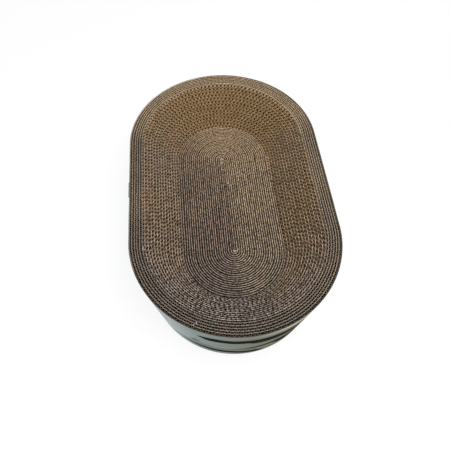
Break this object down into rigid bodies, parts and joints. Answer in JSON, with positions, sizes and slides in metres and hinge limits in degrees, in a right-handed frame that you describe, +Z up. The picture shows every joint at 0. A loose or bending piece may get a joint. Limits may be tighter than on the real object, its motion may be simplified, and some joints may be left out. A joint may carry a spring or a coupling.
{
  "type": "oval cardboard cat scratcher bowl",
  "caption": "Oval bowl-topped scratcher for cats, wound from strips of single-faced corrugated board, with a printed paper sleeve round its tapered side.",
  "frame": {"origin": "middle of the foot, on the ground, under the centre of the oval", "axes": "+Z up, +Y along the long axis of the oval towards its far end, +X to the right"},
  "size_m": [0.2719, 0.433, 0.12],
  "materials": {
    "fluted_paper": "matt brown kraft paper, fluted",
    "liner_paper": "matt brown kraft paper, flat",
    "printed_paper": "smooth printed paper, pale grey-blue with dark tapered streaks",
    "glue": "dried glue"
  },
  "bodies": {
    "root": {"floor_fluting": "fluted_paper", "floor_liner": "liner_paper", "slope_fluting": "fluted_paper", "slope_liner": "liner_paper", "rim_fluting": "fluted_paper", "rim_liner": "liner_paper", "printed_sleeve": "printed_paper", "core_glue": "glue", "floor_end_glue": "glue", "slope_end_glue": "glue", "rim_tail_glue": "glue", "sleeve_lap_glue": "glue"}
  },
  "joints": []
}
